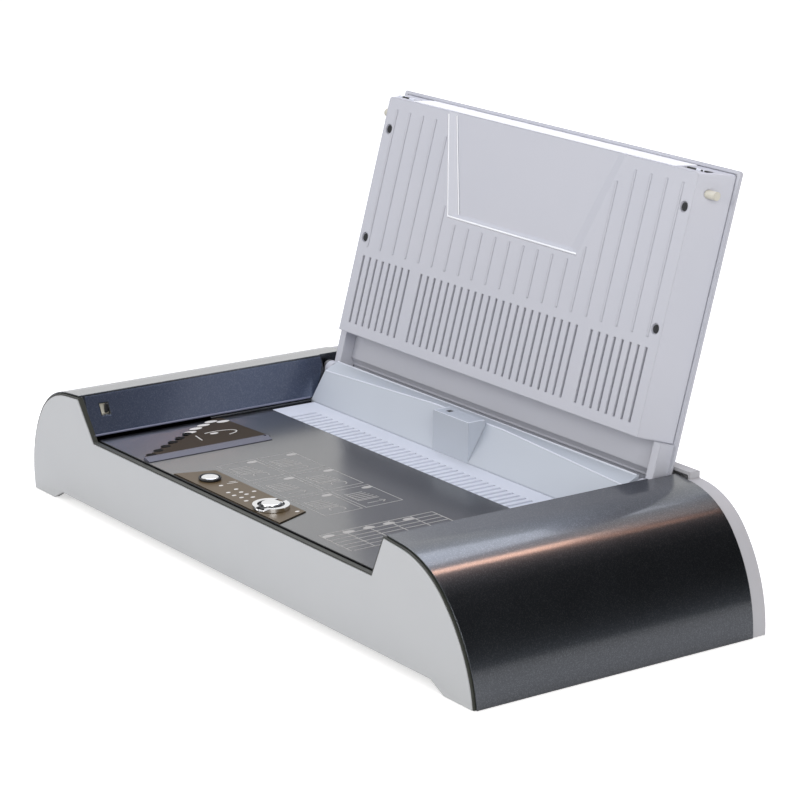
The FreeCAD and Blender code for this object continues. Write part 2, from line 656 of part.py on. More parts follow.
rect(sk, "-tower_x - seat_gap", "tower_x + seat_gap", "0", "tower_rear + seat_gap")
pocket(sk, "body_depth")
node("throat_housing", throat)

tower = new_body("sensor_tower")
sk = sketch(tower, "XY", "throat_foot_z - wall / 2")
rect(sk, "-tower_x", "tower_x", "throat_front - seat_gap", "tower_rear")
pad(sk, "tower_top - throat_foot_z + wall / 2")
sk = sketch(tower, "XY", "0")
rect(sk, "-tower_x + tower_wall", "tower_x - tower_wall", "throat_front - seat_gap + tower_wall",
     "tower_rear - tower_wall")
pocket(sk, "tower_top - tower_wall")
sk = sketch(tower, "XY", "0")
rect(sk, "plunger_x - plunger_radius - part_gap", "plunger_x + plunger_radius + part_gap",
     "plunger_y - plunger_radius - part_gap", "plunger_y + plunger_radius + part_gap")
pocket(sk, "body_depth")
node("sensor_tower", tower)
node("sensor_plunger", rod("sensor_plunger", "Z",
                           ("plunger_x", "plunger_y", "tower_top - 4 * tower_wall - seat_gap"),
                           "plunger_radius", "4 * tower_wall"))
switch_top = "(tower_top - 4 * tower_wall - seat_gap - part_gap - plunger_travel)"
node("sensor_switch", block("sensor_switch", ("-tower_x + tower_wall + seat_gap", "-wall"),
                            ("tower_rear - tower_wall - seat_gap - 3 * wall",
                             "tower_rear - tower_wall - seat_gap"),
                            (switch_top + " - 4 * wall", switch_top)))


# Thickness gauge and printed panels on the deck.

gauge = new_body("gauge_fence")
sk = sketch(gauge, "XZ", "gauge_front")
outline(sk, [("gauge_left", "deck_top + seat_gap / 2"), ("gauge_left", "deck_top + gauge_high"),
             ("gauge_ridge", "deck_top + gauge_high"), ("gauge_right", "deck_top + 2 * seat_gap"),
             ("gauge_right", "deck_top + seat_gap / 2")])
pad(sk, "gauge_rear - gauge_front")
sk = sketch(gauge, "XY", "deck_top + gauge_high - wall / 2")
disc(sk, "(gauge_left + gauge_ridge) / 2", "gauge_rear - wall", "wall / 2")
pocket(sk, "wall")
node("gauge_fence", gauge)

plate = new_body("gauge_label")
near_x, near_y = "(gauge_left - part_gap)", "(gauge_front + 2 * wall)"
points = []
for i in range(GAUGE_STEPS):
    step_x = "%s + (label_left - %s) * %d / %d" % (near_x, near_x, i, GAUGE_STEPS)
    next_x = "%s + (label_left - %s) * %d / %d" % (near_x, near_x, i + 1, GAUGE_STEPS)
    step_y = "%s + (label_rear_y - %s) * %d / %d" % (near_y, near_y, i, GAUGE_STEPS)
    if i:
        points.append((step_x, step_y))
    points.append((next_x, step_y))
points += [("label_left", "label_rear_y"), (near_x, "label_rear_y + 2 * wall"), (near_x, near_y)]
sk = sketch(plate, "XY", "deck_top + seat_gap / 2")
outline(sk, points)
pad(sk, "label_thick")
node("gauge_label", plate)

panel = new_body("control_label")
sk = sketch(panel, "XY", "deck_top + seat_gap / 2")
outline(sk, [("-label_near_x", "label_front_y"), ("label_right_x", "label_front_y"),
             ("label_far_x", "label_back_y"), ("-label_back_x", "label_back_y")])
disc(sk, "power_x", "control_y", "power_hole")
disc(sk, "selector_x", "control_y", "shaft_radius + part_gap")
pad(sk, "label_thick")
node("control_label", panel)


# Controls.

button = new_body("power_button")
sk = sketch(button, "XY", "deck_top - deck_thick + part_gap")
disc(sk, "power_x", "control_y", "power_radius")
pad(sk, "deck_thick - part_gap + power_high")
high = val("deck_top + power_high")
round_edges(button, "wall / 2", lambda p, d: abs(p.z - high) < 0.01)
node("power_button", button)
board_top = "(control_board_z + board_thick + seat_gap / 2)"
node("power_switch", block("power_switch", ("power_x - power_radius", "power_x + power_radius"),
                           ("control_y - power_radius + wall / 2", "control_y + power_radius"),
                           (board_top, "deck_top - deck_thick - power_travel")))

# the knob is drawn about its own axis, then placed and turned
knob = new_body("selector_knob")
sk = sketch(knob, "XY", "knob_base")
disc(sk, "0", "0", "selector_radius")
pad(sk, "knob_top - knob_base")
sk = sketch(knob, "XY", "knob_base")
disc(sk, "0", "0", "wing_reach")
pad(sk, "(knob_top - knob_base) * wing_share")
sk = sketch(knob, "XY", "knob_base + wall / 3")
disc(sk, "0", "0", "wing_reach - wing_half")
disc(sk, "0", "0", "selector_radius")
pocket(sk, "knob_top - knob_base")
sk = sketch(knob, "XY", "knob_base + wall / 3")
for low, high in (("-2 * wing_reach", "-selector_radius"), ("selector_radius", "2 * wing_reach")):
    rect(sk, low, high, "-wing_half", "wing_half")
pocket(sk, "knob_top - knob_base")
sk = sketch(knob, "XY", "0")
disc(sk, "0", "0", "shaft_radius + shaft_play")
pocket(sk, "knob_top - wall / 2")
high = val("knob_top")
round_edges(knob, "wall / 3", lambda p, d: abs(p.z - high) < 0.01)
turn = FreeCAD.Rotation(FreeCAD.Vector(0, 0, 1), val("selector_rest"))
knob.Placement = FreeCAD.Placement(FreeCAD.Vector(), turn)
place(knob, "selector_x", "control_y", "0")
knob.setExpression(".Placement.Rotation.Angle", link("selector_rest"))
node("selector_knob", knob)
encoder_top = "(deck_top - deck_thick - part_gap)"
node("selector_shaft", rod("selector_shaft", "Z", ("selector_x", "control_y", "deck_top - deck_thick"),
                           "shaft_radius", "knob_top - wall / 2 - part_gap - deck_top + deck_thick"))
node("selector_encoder", block("selector_encoder",
                               ("selector_x - selector_radius", "selector_x + selector_radius"),
                               ("control_y - selector_radius + wall / 2", "control_y + selector_radius"),
                               (board_top, encoder_top)))

node("control_board", block("control_board",
                            ("power_x - board_past_power", "selector_x + board_past_selector"),
                            ("ring_front + 2 * ring_wall", "label_back_y"),
                            ("control_board_z", "control_board_z + board_thick")))
node("power_board", block("power_board", ("power_board_x", "power_board_x + power_board_wide"),
                          ("power_board_front", "power_board_front + power_board_long"),
                          ("power_board_z", "power_board_z + board_thick")))
posts = []
for i, x in enumerate(["power_x - board_past_power + power_radius",
                       "selector_x + board_past_selector - power_radius"]):
    posts.append(rod("board_post_%d" % i, "Z", (x, "control_y + power_radius", "tray_floor + seat_gap / 2"),
                     "post_radius", "control_board_z - tray_floor - seat_gap"))
corners = [(x, y) for y in ("post_radius", "power_board_long - post_radius")
           for x in ("post_radius", "power_board_wide - post_radius")]
for i, (x, y) in enumerate(corners):
    posts.append(rod("power_post_%d" % i, "Z",
                     ("power_board_x + " + x, "power_board_front + " + y, "tray_floor + seat_gap / 2"),
                     "post_radius", "power_board_z - tray_floor - seat_gap"))
node("board_posts", join("board_posts", "Compound", posts))
floor = "(power_board_z + board_thick + seat_gap / 2)"


def on_board(label, in_x, in_y):
    """Block standing on the power board, its near left corner measured from the board's."""
    x, y = "power_board_x + " + in_x, "power_board_front + " + in_y
    node(label, block(label, (x, "%s + %s_wide" % (x, label)), (y, "%s + %s_long" % (y, label)),
                      (floor, "%s + %s_high" % (floor, label))))


on_board("transformer", "transformer_in", "transformer_in")
on_board("relay", "relay_in_x", "relay_in_y")
spot = ("power_board_x + capacitor_in_x", "power_board_front + capacitor_in_y", floor)
node("capacitor", rod("capacitor", "Z", spot, "capacitor_radius", "capacitor_high"))


# Lid, drawn closed about its hinge axis.

def open_lid(obj):
    """Turns a lid piece, drawn closed about the hinge axis, to the stored open pose."""
    turn = FreeCAD.Rotation(FreeCAD.Vector(-1, 0, 0), val("open_angle"))
    obj.Placement = FreeCAD.Placement(FreeCAD.Vector(), turn)
    place(obj, "0", "hinge_y", "hinge_z")
    obj.setExpression(".Placement.Rotation.Angle", link("open_angle"))
    return obj


def far(distance):
    """Place along the lid, from its inner face's hinge end towards the front."""
    return "(-lid_back - (%s))" % distance


CROWN = "((shell_x ^ 2 + (shell_crown - shell_side) ^ 2) / (2 * (shell_crown - shell_side)))"
shell = new_body("lid_shell")
sk = sketch(shell, "XZ", "-shell_front")
outline(sk, [("-shell_x", "shell_low"), ("shell_x", "shell_low"),
             ("shell_x", "shell_side", CROWN, "0", "shell_crown - " + CROWN), ("-shell_x", "shell_side")])
pad(sk, "shell_front - boss_radius")
front = -val("shell_front")
side_edge = val("shell_x")
low = val("shell_low") + 0.1
round_edges(shell, "shell_round",
            lambda p, d: p.z > low and (abs(p.y - front) < 0.01 or abs(abs(p.x) - side_edge) < 0.01))
sk = sketch(shell, "YZ", "-shell_x - wall")
slope = "((shell_crown - slope_z) / (slope_start - slope_end))"
outline(sk, [("-slope_start - slope_end", "slope_z + slope_start * %s" % slope), ("-slope_end", "slope_z"),
             ("wall", "slope_z"), ("wall", "body_depth / 2"),
             ("-slope_start - slope_end", "body_depth / 2")])
pocket(sk, "2 * shell_x + 2 * wall")
sk = sketch(shell, "XZ", "-shell_front + shell_wall")
cavity_z = "(shell_crown - shell_wall - %s + sqrt((%s) ^ 2 - cavity_x ^ 2))" % (CROWN, CROWN)
outline(sk, [("-cavity_x", "0"), ("cavity_x", "0"),
             ("cavity_x", cavity_z, CROWN, "0", "shell_crown - shell_wall - " + CROWN),
             ("-cavity_x", cavity_z)])
pocket(sk, "shell_front - shell_wall - slope_start")
sk = sketch(shell, "YZ", "-cavity_x")
outline(sk, [("-slope_start - wall", "0"), ("-lid_back", "0"), ("-lid_back", "lid_tray_top + seat_gap"),
             ("-slope_start - wall", "lid_tray_top + seat_gap")])
pocket(sk, "2 * cavity_x")
# solid band beside the tray, and the skirt that turns round the hinge axis
sk = sketch(shell, "YZ", "-band_x")
outline(sk, [("-lid_back + seat_gap", "band_z"), ("-band_end", "band_z"),
             ("-band_end", "slope_z - wall / 2"), ("-lid_back + seat_gap", "slope_z - wall / 2")])
pad(sk, "2 * band_x")
sk = sketch(shell, "YZ", "-band_x")


def polar(radius, angle):
    return "%s * cos(%s)" % (radius, angle), "%s * sin(%s)" % (radius, angle)


outline(sk, [polar("skirt_outer", "skirt_end") + ("skirt_outer", "0", "0"),
             polar("skirt_outer", "skirt_start"),
             polar("skirt_inner", "skirt_start") + ("skirt_inner", "0", "0"),
             polar("skirt_inner", "skirt_end")])
pad(sk, "2 * band_x")
# hinge arms with bored bosses
for near in ("arm_inner", "-arm_outer"):
    sk = sketch(shell, "YZ", near)
    outline(sk, [("-lid_back + seat_gap", "arm_low"), ("boss_radius - wall / 4", "arm_low"),
                 ("wall", "slope_z - wall"), ("-band_end", "slope_z - wall / 4"),
                 ("-lid_back + seat_gap", "slope_z - wall / 4")])
    pad(sk, "arm_outer - arm_inner")
    sk = sketch(shell, "YZ", near)
    disc(sk, "0", "0", "boss_radius")
    pad(sk, "arm_outer - arm_inner")
sk = sketch(shell, "YZ", "-shell_x - wall")
disc(sk, "0", "0", "pin_radius + pin_play")
pocket(sk, "2 * shell_x + 2 * wall")
node("lid_shell", open_lid(shell))

lid_tray = new_body("lid_tray")
drafts = []
for z, inset in (("lid_face", "0"), ("lid_tray_top", "0"), ("lid_face + lid_wall", "lid_wall"),
                 ("lid_tray_top + wall", "lid_wall")):
    sk = sketch(lid_tray, "XY", z)
    rise = "((%s - lid_face) / draft_high)" % z
    half = "(tray_x + tray_draft_x * %s - %s)" % (rise, inset)
    front = "(-lid_back - lid_long - tray_draft_y * %s + %s)" % (rise, inset)
    turn_y = "(%s + lid_wall)" % front
    outline(sk, [("-" + half, "-lid_back - %s" % inset), (half, "-lid_back - %s" % inset),
                 (half, turn_y, "lid_wall", half + " - lid_wall", turn_y),
                 (half + " - lid_wall", front),
                 ("-%s + lid_wall" % half, front, "lid_wall", "-%s + lid_wall" % half, turn_y),
                 ("-" + half, turn_y)])
    drafts.append(sk)
body_loft = lid_tray.newObject("PartDesign::AdditiveLoft", "Loft")
body_loft.Profile = drafts[0]
body_loft.Sections = [drafts[1]]
body_loft.Ruled = True
lid_tray.Tip = body_loft
doc.recompute()
hollow = lid_tray.newObject("PartDesign::SubtractiveLoft", "Hollow")
hollow.Profile = drafts[2]
hollow.Sections = [drafts[3]]
hollow.Ruled = True
lid_tray.Tip = hollow
doc.recompute()

# recessed panel with sloping sides, open at the far edge; drawn from as far above the face as it is deep
slopes = []
for z, times in (("lid_face - recess_deep", "2"), ("lid_face + recess_deep", "0")):
    near_x = "(recess_floor_near_x + %s * (recess_near_x - recess_floor_near_x))" % times
    far_x = "(recess_floor_far_x + %s * (recess_far_x - recess_floor_far_x))" % times
    near = "(recess_floor_near + %s * (recess_near - recess_floor_near))" % times
    sk = sketch(lid_tray, "XY", z)
    outline(sk, [("-" + near_x, far(near)), ("-" + far_x, far("recess_far")), (far_x, far("recess_far")),
                 (near_x, far(near))])
    slopes.append(sk)
recess = lid_tray.newObject("PartDesign::SubtractiveLoft", "Recess")
recess.Profile = slopes[0]
recess.Sections = [slopes[1]]
recess.Ruled = True
lid_tray.Tip = recess
doc.recompute()
for first, count in (("-vent_mid_x", LID_VENTS_MIDDLE), ("vent_side_x", LID_VENTS_SIDE),
                     ("-vent_side_x - %d * vent_pitch" % (LID_VENTS_SIDE - 1), LID_VENTS_SIDE)):
    sk = sketch(lid_tray, "XY", "2 * lid_face")
    rect(sk, "%s - vent_width / 2" % first, "%s + vent_width / 2" % first, far("vent_near + vent_long"),
         far("vent_near"))
    vent = pocket(sk, "2 * lid_wall - lid_face")
    across_row(lid_tray, vent, "vent_pitch * %d" % (count - 1), count)
ridges = [("-ridge_inner * ridge_step", 2 * RIDGES_MIDDLE + 1, "ridge_mid_end")]
for end, order, count in (("ridge_turn_end", "(ridge_inner + 1)", 1),
                          ("ridge_side_end", "(ridge_inner + 2)", 1),
                          ("ridge_far", "(ridge_inner + 3)", RIDGES_SIDE)):
    ridges.append(("%s * ridge_step" % order, count, end))
    ridges.append(("-(%s + %d) * ridge_step" % (order, count - 1), count, end))
for first, count, end in ridges:
    sk = sketch(lid_tray, "XY", "lid_face - ridge_high")
    rect(sk, "%s - ridge_width / 2" % first, "%s + ridge_width / 2" % first, far(end), far("ridge_near"))
    ridge = pad(sk, "ridge_high + lid_wall / 2")
    if count > 1:
        across_row(lid_tray, ridge, "ridge_step * %d" % (count - 1), count)
sk = sketch(lid_tray, "XY", "2 * lid_face")
for sx in ("", "-"):
    for distance in ("screw_near", "screw_far"):
        disc(sk, sx + "screw_x", far(distance), "screw_radius + seat_gap")
pocket(sk, "screw_recess - lid_face")
for low_x, high_x in (("clip_in", "clip_out"), ("-clip_out", "-clip_in")):
    sk = sketch(lid_tray, "XZ", "-shell_front")
    rect(sk, low_x, high_x, "clip_low", "clip_high")
    pocket(sk, "shell_front - lid_back - lid_long + 2 * lid_wall")
sk = sketch(lid_tray, "YZ", "-shell_x")
disc(sk, far("peg_far"), "peg_z", "peg_radius + seat_gap / 2")
pocket(sk, "2 * shell_x")
node("lid_tray", open_lid(lid_tray))

spots = [(sx + "screw_x", far(distance), "lid_face + seat_gap")
         for sx in ("", "-") for distance in ("screw_near", "screw_far")]
heads = [rod("lid_screw_%d" % i, "Z", spot, "screw_radius", "screw_recess - seat_gap - seat_gap / 2")
         for i, spot in enumerate(spots)]
node("lid_screws", open_lid(join("lid_screws", "Compound", heads)))

clip_y = "(-lid_back - lid_long - tray_draft_y * (clip_low - lid_face) / draft_high)"
sides = [("clip_in + hook_start", "clip_in + hook_end"), ("clip_in + catch_start", "clip_in + catch_end")]
sides += [("-%s" % high.replace(" + ", " - "), "-%s" % low.replace(" + ", " - ")) for low, high in sides]
clips = [block("lid_clip_%d" % i, (low_x, high_x), (clip_y, clip_y + " + 3 * lid_wall"),
               ("clip_low + seat_gap / 2", "clip_high - seat_gap / 2"))
         for i, (low_x, high_x) in enumerate(sides)]
node("lid_clips", open_lid(join("lid_clips", "Compound", clips)))

pegs = [rod("latch_peg_%d" % i, "X", (start, far("peg_far"), "peg_z"), "peg_radius", "peg_tip - peg_root")
        for i, start in enumerate(["peg_root", "-peg_tip"])]
node("latch_pegs", open_lid(join("latch_pegs", "Compound", pegs)))


# Hinge pins and brackets, fixed to the base tray.

def bracket(side):
    name = "right" if side > 0 else "left"
    near = "bracket_inner" if side > 0 else "-bracket_inner - bracket_thick"
    body = new_body("hinge_bracket_" + name)
    sk = sketch(body, "YZ", near)
    outline(sk, [("hinge_y - bracket_y", "tray_floor + seat_gap / 2"),
                 ("hinge_y + bracket_y", "tray_floor + seat_gap / 2"),
                 ("hinge_y + bracket_y", "hinge_z", "bracket_y", "hinge_y", "hinge_z"),
                 ("hinge_y", "hinge_z + bracket_y", "bracket_y", "hinge_y", "hinge_z"),
                 ("hinge_y - bracket_y", "hinge_z")])
    pad(sk, "bracket_thick")
    sk = sketch(body, "XY", "tray_floor + seat_gap / 2")
    foot = ("bracket_inner", "bracket_inner + 6 * bracket_thick")
    if side < 0:
        foot = ("-bracket_inner - 6 * bracket_thick", "-bracket_inner")
    rect(sk, foot[0], foot[1], "hinge_y - bracket_y", "hinge_y + bracket_y")
    pad(sk, "bracket_thick")
    sk = sketch(body, "YZ", "bracket_inner - wall" if side > 0 else "-bracket_inner - bracket_thick - wall")
    disc(sk, "hinge_y", "hinge_z", "pin_radius + pin_play")
    pocket(sk, "bracket_thick + 2 * wall")
    node("hinge_bracket_" + name, body)
    start = "arm_inner - wall / 2" if side > 0 else "-bracket_inner - bracket_thick - wall / 2"
    node("hinge_pin_" + name, rod("hinge_pin_" + name, "X", (start, "hinge_y", "hinge_z"), "pin_radius",
                                  "bracket_inner + bracket_thick - arm_inner + wall"))


for side in (1, -1):
    bracket(side)


# Checks and export.

doc.recompute()
for obj in doc.Objects:
    if "Invalid" in obj.State or "Error" in obj.State:
        raise RuntimeError(obj.Label + ": " + ", ".join(obj.State))
os.makedirs("parts", exist_ok=True)
for name, obj in NODES.items():
    shape = obj.Shape
    if shape.isNull() or not shape.isValid():
        raise RuntimeError(name + ": its shape isn't valid")
for name, obj in NODES.items():
    obj.Shape.exportStep("parts/%s.step" % name)
print(len(NODES), "nodes written")
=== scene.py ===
import json
from math import cos, pi, radians, sin

import bpy
from mathutils import Matrix, Vector


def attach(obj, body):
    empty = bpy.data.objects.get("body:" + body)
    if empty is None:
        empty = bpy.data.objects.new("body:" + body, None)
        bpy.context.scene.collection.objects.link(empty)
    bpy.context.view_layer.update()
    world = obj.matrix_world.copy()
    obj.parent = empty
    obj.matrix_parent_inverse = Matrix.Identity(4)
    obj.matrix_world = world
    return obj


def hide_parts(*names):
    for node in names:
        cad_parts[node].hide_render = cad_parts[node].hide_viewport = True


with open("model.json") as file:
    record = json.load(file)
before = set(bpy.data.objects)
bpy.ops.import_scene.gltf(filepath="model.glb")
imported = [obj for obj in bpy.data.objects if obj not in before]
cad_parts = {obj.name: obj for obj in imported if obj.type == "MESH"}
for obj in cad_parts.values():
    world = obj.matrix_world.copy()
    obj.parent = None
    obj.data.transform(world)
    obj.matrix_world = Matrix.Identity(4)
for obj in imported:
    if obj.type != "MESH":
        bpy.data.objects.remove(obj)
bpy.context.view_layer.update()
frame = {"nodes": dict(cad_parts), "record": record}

# Desktop thermal binding machine with its cover open, dressed over its CAD frame.
# The scene is in metres, +Z up. Sizes on the machine are written in millimetres and multiplied by MM.

MM = 0.001
NODES = frame["nodes"]


# Camera, at the photograph's angle. TURN is from the front towards the right; angles are in degrees.

LENS_MM, SENSOR_MM = 130.62, 36.0
TURN, RISE, ROLL = 54.132, 15.70, 0.607
AWAY_MM, ACROSS_MM, ABOVE_MM = 1950.8, 20.1, 48.8
LOOK_AT_MM = (0, 0, 60)


def aim_camera():
    """Stands the camera to the right of the front, a little above, with the photograph's framing."""
    turn, rise, roll = radians(TURN), radians(RISE), radians(ROLL)
    back = Vector((sin(turn) * cos(rise), -cos(turn) * cos(rise), sin(rise)))
    level = Vector((cos(turn), sin(turn), 0))
    plumb = back.cross(level)
    right = level * cos(roll) + plumb * sin(roll)
    up = plumb * cos(roll) - level * sin(roll)
    spot = (Vector(LOOK_AT_MM) + right * ACROSS_MM + up * ABOVE_MM + back * AWAY_MM) * MM
    data = bpy.data.cameras.new("studio_camera")
    data.lens = LENS_MM
    data.sensor_width = SENSOR_MM
    camera = bpy.data.objects.new("studio_camera", data)
    bpy.context.collection.objects.link(camera)
    camera.matrix_world = Matrix.Translation(spot) @ Matrix((right, up, back)).transposed().to_4x4()
    bpy.context.scene.camera = camera


# Finishes. A colour is an sRGB hex value, a pattern's size is in millimetres.

BEVEL_SAMPLES = 3
PLASTIC_DRIFT_MM, LACQUER_DRIFT_MM = 55, 40
LACQUER_EDGE_MM, LACQUER_RELIEF_MM = 0.9, 0.02
SCRATCH_DEEP_MM = 0.02


def linear(code):
    """The linear colour that an sRGB hex value stands for."""
    shares = [int(code[i:i + 2], 16) / 255 for i in (1, 3, 5)]
    return [s / 12.92 if s <= 0.04045 else ((s + 0.055) / 1.055) ** 2.4 for s in shares] + [1.0]


def add(tree, kind, options, sockets):
    """Adds a shader node, sets its options, and gives each socket a value or another node's output."""
    made = tree.nodes.new("ShaderNode" + kind)
    for name, value in options.items():
        setattr(made, name, value)
    for name, value in sockets.items():
        if isinstance(value, bpy.types.NodeSocket):
            tree.links.new(value, made.inputs[name])
        else:
            made.inputs[name].default_value = value
    return made


def blank(name, roughness, metallic=0.0, ior=1.5):
    """A new material with its shader's own values set, and the object coordinates for its patterns."""
    material = bpy.data.materials.new(name)
    material.use_nodes = True
    tree = material.node_tree
    surface = tree.nodes["Principled BSDF"]
    surface.inputs["Roughness"].default_value = roughness
    surface.inputs["Metallic"].default_value = metallic
    if not metallic:
        surface.inputs["IOR"].default_value = ior
    place = add(tree, "TexCoord", {}, {}).outputs["Object"]
    return material, tree, surface, place


def moulded(name, colour, shade, roughness, grain_mm, grain_deep_mm, edge_mm=0.35, ior=1.5, spread=0.06):
    """Injection-moulded plastic: spark-eroded grain, a slow drift of shade, and edges with a small radius.
    Films, inks and rubber are made the same way, with finer or coarser grain."""
    material, tree, surface, place = blank(name, roughness, ior=ior)
    grain = add(tree, "TexNoise", {}, {"Vector": place, "Scale": 1 / (grain_mm * MM), "Detail": 3.0})
    drift = add(tree, "TexNoise", {}, {"Vector": place, "Scale": 1 / (PLASTIC_DRIFT_MM * MM), "Detail": 2.0})
    tint = add(tree, "Mix", {"data_type": "RGBA"},
               {"Factor": drift.outputs["Fac"], 6: linear(colour), 7: linear(shade)})
    rough = add(tree, "MapRange", {},
                {"Value": grain.outputs["Fac"], "To Min": roughness - spread, "To Max": roughness + spread})
    edge = add(tree, "Bevel", {"samples": BEVEL_SAMPLES}, {"Radius": edge_mm * MM})
    relief = add(tree, "Bump", {}, {"Strength": 0.35, "Distance": grain_deep_mm * MM,
                                    "Height": grain.outputs["Fac"], "Normal": edge.outputs["Normal"]})
    tree.links.new(tint.outputs[2], surface.inputs["Base Color"])
    tree.links.new(rough.outputs["Result"], surface.inputs["Roughness"])
    tree.links.new(relief.outputs["Normal"], surface.inputs["Normal"])
    return material


def flake_paint(name, colour, flake_colour, roughness, flake_mm, coat_rough):
    """Metallic lacquer on ABS: a dull flake layer under a clear coat that mirrors the studio.
    Real flakes of 0.05 mm are too fine to show, so they are drawn eight to ten times as coarse."""
    material, tree, surface, place = blank(name, roughness, metallic=1.0)
    surface.inputs["Coat Weight"].default_value = 1.0
    surface.inputs["Coat Roughness"].default_value = coat_rough
    flakes = add(tree, "TexVoronoi", {}, {"Vector": place, "Scale": 1 / (flake_mm * MM)})
    chance = add(tree, "SeparateColor", {}, {"Color": flakes.outputs["Color"]})
    bright = add(tree, "MapRange", {}, {"Value": chance.outputs["Red"], "From Min": 0.6, "From Max": 1.0})
    drift = add(tree, "TexNoise", {}, {"Vector": place, "Scale": 1 / (LACQUER_DRIFT_MM * MM), "Detail": 2.0})
    tint = add(tree, "Mix", {"data_type": "RGBA"},
               {"Factor": bright.outputs["Result"], 6: linear(colour), 7: linear(flake_colour)})
    rough = add(tree, "MapRange", {},
                {"Value": drift.outputs["Fac"], "To Min": roughness - 0.03, "To Max": roughness + 0.03})
    edge = add(tree, "Bevel", {"samples": BEVEL_SAMPLES}, {"Radius": LACQUER_EDGE_MM * MM})
    relief = add(tree, "Bump", {}, {"Strength": 0.12, "Distance": LACQUER_RELIEF_MM * MM,
                                    "Height": chance.outputs["Green"], "Normal": edge.outputs["Normal"]})
    tree.links.new(tint.outputs[2], surface.inputs["Base Color"])
    tree.links.new(rough.outputs["Result"], surface.inputs["Roughness"])
    tree.links.new(relief.outputs["Normal"], surface.inputs["Normal"])
    tree.links.new(edge.outputs["Normal"], surface.inputs["Coat Normal"])
    return material


def bare_metal(name, colour, shade, roughness, scratch_mm, stretch):
    """Rolled or plated metal: fine lines, stretched along one axis, that vary the shade and the gloss."""
    material, tree, surface, place = blank(name, roughness, metallic=1.0)
    along = add(tree, "Mapping", {}, {"Vector": place, "Scale": stretch})
    lines = add(tree, "TexNoise", {}, {"Vector": along.outputs["Vector"], "Scale": 1 / (scratch_mm * MM),
                                       "Detail": 4.0})
    tint = add(tree, "Mix", {"data_type": "RGBA"},
               {"Factor": lines.outputs["Fac"], 6: linear(colour), 7: linear(shade)})
    rough = add(tree, "MapRange", {},
                {"Value": lines.outputs["Fac"], "To Min": roughness - 0.05, "To Max": roughness + 0.08})
    relief = add(tree, "Bump", {}, {"Strength": 0.15, "Distance": SCRATCH_DEEP_MM * MM,
                                    "Height": lines.outputs["Fac"]})
    tree.links.new(tint.outputs[2], surface.inputs["Base Color"])
    tree.links.new(rough.outputs["Result"], surface.inputs["Roughness"])
    tree.links.new(relief.outputs["Normal"], surface.inputs["Normal"])
    return material


# one finish for each material slot of the record
FINISHES = {
    "cover_graphite": flake_paint("graphite_metallic_lacquer", "#464a50", "#5c6065", 0.34, 0.5, 0.13),
    "face_silver": moulded("silver_grey_abs", "#bdbfc1", "#b8babd", 0.42, 0.45, 0.02),
    "frame_olive": moulded("olive_grey_abs", "#30322c", "#2b2d27", 0.45, 0.4, 0.02),
    "rear_grey": moulded("light_grey_abs", "#b4b4b8", "#adadb2", 0.48, 0.45, 0.02),
    "tray_black": moulded("black_abs_base", "#1b1b1d", "#232325", 0.5, 0.5, 0.03),
    "deck_smoke": flake_paint("smoke_metallic_lacquer", "#303236", "#404042", 0.36, 0.4, 0.16),
    "comb_white": moulded("white_heat_proof_nylon", "#d4d7e2", "#ccd0db", 0.45, 0.4, 0.02),
    "throat_grey": moulded("grey_heat_proof_nylon", "#b8bec8", "#b1b7c1", 0.45, 0.4, 0.02),
    "lid_lilac": moulded("lilac_grey_abs", "#c0c1ca", "#bbbdc7", 0.46, 0.4, 0.02, edge_mm=1.1),
    "gauge_lilac": moulded("violet_grey_abs", "#505160", "#4a4b5b", 0.4, 0.4, 0.02),
    "print_bronze": moulded("bronze_polyester_film", "#5a4b34", "#52442e", 0.42, 0.3, 0.006,
                            ior=1.4, spread=0.03),
    "print_brown": moulded("brown_polyester_film", "#2c200d", "#251a0a", 0.55, 0.3, 0.006,
                           ior=1.25, spread=0.03),
    "chrome_trim": bare_metal("bright_chrome_plate", "#e9e9ea", "#dededf", 0.12, 3.0, (1, 1, 1)),
    "ivory": moulded("ivory_acetal", "#cfccc0", "#c7c3b6", 0.4, 0.4, 0.01),
    "foot_rubber": moulded("black_rubber", "#17181a", "#1f2022", 0.75, 0.6, 0.05),
    "steel": bare_metal("zinc_plated_steel", "#9a9a9c", "#7f8083", 0.32, 0.5, (1, 1, 6)),
    "aluminium_plate": bare_metal("rolled_aluminium", "#c9cacd", "#b9babd", 0.35, 0.5, (0.05, 1, 1)),
    "mica": moulded("mica_laminate", "#a08f6d", "#8d7c5c", 0.35, 1.5, 0.05),
    "phenolic": moulded("brown_phenolic", "#4d2f1d", "#432817", 0.4, 0.5, 0.02),
    "board_green": moulded("green_glass_laminate", "#1f5a30", "#1a4d29", 0.35, 0.8, 0.02),
    "component_black": moulded("black_pbt", "#18191b", "#202124", 0.45, 0.5, 0.03),
    "component_blue": moulded("blue_pvc_sleeve", "#2442a0", "#1d378a", 0.3, 0.5, 0.01),
    "copper_yellow": moulded("yellow_polyester_tape", "#d9b53c", "#c9a531", 0.35, 0.6, 0.02),
}
